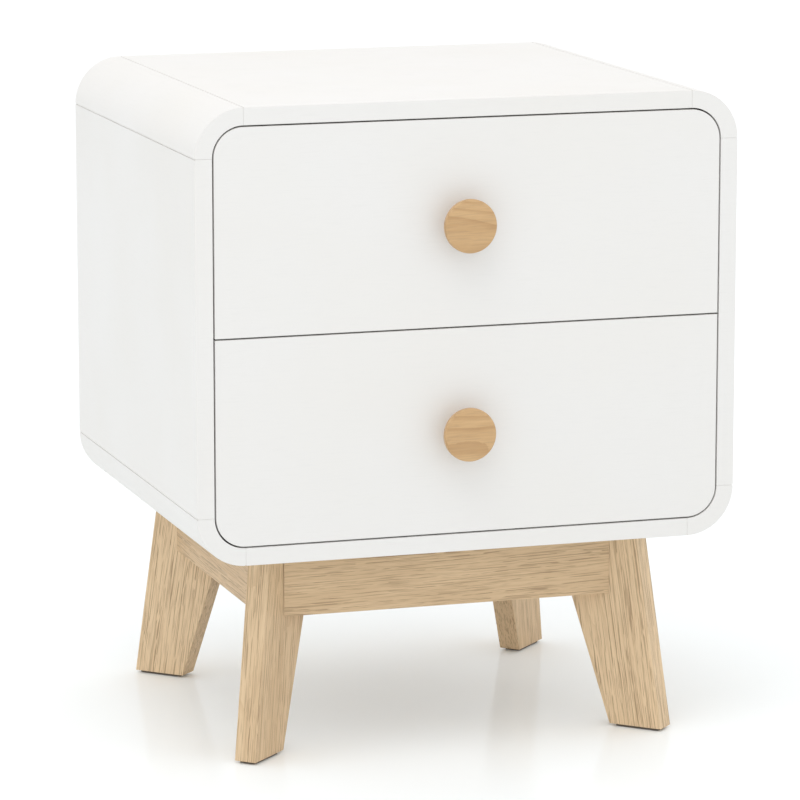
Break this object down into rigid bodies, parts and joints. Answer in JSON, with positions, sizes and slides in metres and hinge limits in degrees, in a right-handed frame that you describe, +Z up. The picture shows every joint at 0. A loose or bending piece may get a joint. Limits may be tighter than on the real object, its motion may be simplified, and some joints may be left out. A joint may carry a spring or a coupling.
{
  "type": "two-drawer nightstand",
  "caption": "White round-cornered bedside cabinet with inset drawers on ball-bearing slides, turned wooden knobs and a splayed diagonal-plank wooden base.",
  "frame": {"origin": "on the floor, at the bottom centre of the bounding box, knobs included", "axes": "+Z up, the drawers face and open towards -Y, +X to the right of a viewer who stands in front"},
  "size_m": [0.4, 0.3612, 0.472],
  "materials": {
    "white_paint": "satin white paint on fibreboard, with a very faint grain",
    "white_board": "white-faced board, matt",
    "oak": "light open-pored oak, clear matt lacquer",
    "pine": "plain sawn softwood",
    "steel": "bright zinc-plated fasteners",
    "zinc": "zinc-plated pressed sheet",
    "foot_pad": "dark matt pad"
  },
  "bodies": {
    "cabinet": {"top_panel": "white_paint", "bottom_panel": "white_paint", "left_side_panel": "white_paint", "right_side_panel": "white_paint", "top_left_corner": "white_paint", "top_right_corner": "white_paint", "bottom_left_corner": "white_paint", "bottom_right_corner": "white_paint", "back_panel": "white_board", "front_left_leg": "oak", "front_right_leg": "oak", "back_left_leg": "oak", "back_right_leg": "oak", "front_apron": "oak", "back_apron": "oak", "left_apron": "oak", "right_apron": "oak", "front_left_block": "pine", "front_right_block": "pine", "back_left_block": "pine", "back_right_block": "pine", "front_left_leg_bolt": "steel", "front_right_leg_bolt": "steel", "back_left_leg_bolt": "steel", "back_right_leg_bolt": "steel", "front_left_block_screw": "steel", "front_right_block_screw": "steel", "back_left_block_screw": "steel", "back_right_block_screw": "steel", "front_left_foot_pad": "foot_pad", "front_right_foot_pad": "foot_pad", "back_left_foot_pad": "foot_pad", "back_right_foot_pad": "foot_pad", "upper_left_slide_outer": "zinc", "upper_right_slide_outer": "zinc", "lower_left_slide_outer": "zinc", "lower_right_slide_outer": "zinc"},
    "upper_drawer": {"upper_drawer_front": "white_paint", "upper_drawer_left_side": "white_board", "upper_drawer_right_side": "white_board", "upper_drawer_back": "white_board", "upper_drawer_floor": "white_board", "upper_knob": "oak", "upper_knob_screw": "steel", "upper_left_slide_inner": "zinc", "upper_right_slide_inner": "zinc"},
    "lower_drawer": {"lower_drawer_front": "white_paint", "lower_drawer_left_side": "white_board", "lower_drawer_right_side": "white_board", "lower_drawer_back": "white_board", "lower_drawer_floor": "white_board", "lower_knob": "oak", "lower_knob_screw": "steel", "lower_left_slide_inner": "zinc", "lower_right_slide_inner": "zinc"},
    "upper_left_carriage": {"upper_left_slide_middle": "zinc"},
    "upper_right_carriage": {"upper_right_slide_middle": "zinc"},
    "lower_left_carriage": {"lower_left_slide_middle": "zinc"},
    "lower_right_carriage": {"lower_right_slide_middle": "zinc"}
  },
  "joints": [
    {"name": "upper_drawer_travel", "type": "slide", "parent": "cabinet", "child": "upper_drawer", "axis": [0, -1, 0], "range_m": [0, 0.25]},
    {"name": "lower_drawer_travel", "type": "slide", "parent": "cabinet", "child": "lower_drawer", "axis": [0, -1, 0], "range_m": [0, 0.25]},
    {"name": "upper_left_carriage_travel", "type": "slide", "parent": "cabinet", "child": "upper_left_carriage", "axis": [0, -1, 0], "range_m": [0, 0.125]},
    {"name": "upper_right_carriage_travel", "type": "slide", "parent": "cabinet", "child": "upper_right_carriage", "axis": [0, -1, 0], "range_m": [0, 0.125]},
    {"name": "lower_left_carriage_travel", "type": "slide", "parent": "cabinet", "child": "lower_left_carriage", "axis": [0, -1, 0], "range_m": [0, 0.125]},
    {"name": "lower_right_carriage_travel", "type": "slide", "parent": "cabinet", "child": "lower_right_carriage", "axis": [0, -1, 0], "range_m": [0, 0.125]}
  ],
  "couplings": [
    {"joint": "upper_left_carriage_travel", "follows": "upper_drawer_travel", "ratio": 0.5},
    {"joint": "upper_right_carriage_travel", "follows": "upper_drawer_travel", "ratio": 0.5},
    {"joint": "lower_left_carriage_travel", "follows": "lower_drawer_travel", "ratio": 0.5},
    {"joint": "lower_right_carriage_travel", "follows": "lower_drawer_travel", "ratio": 0.5}
  ]
}
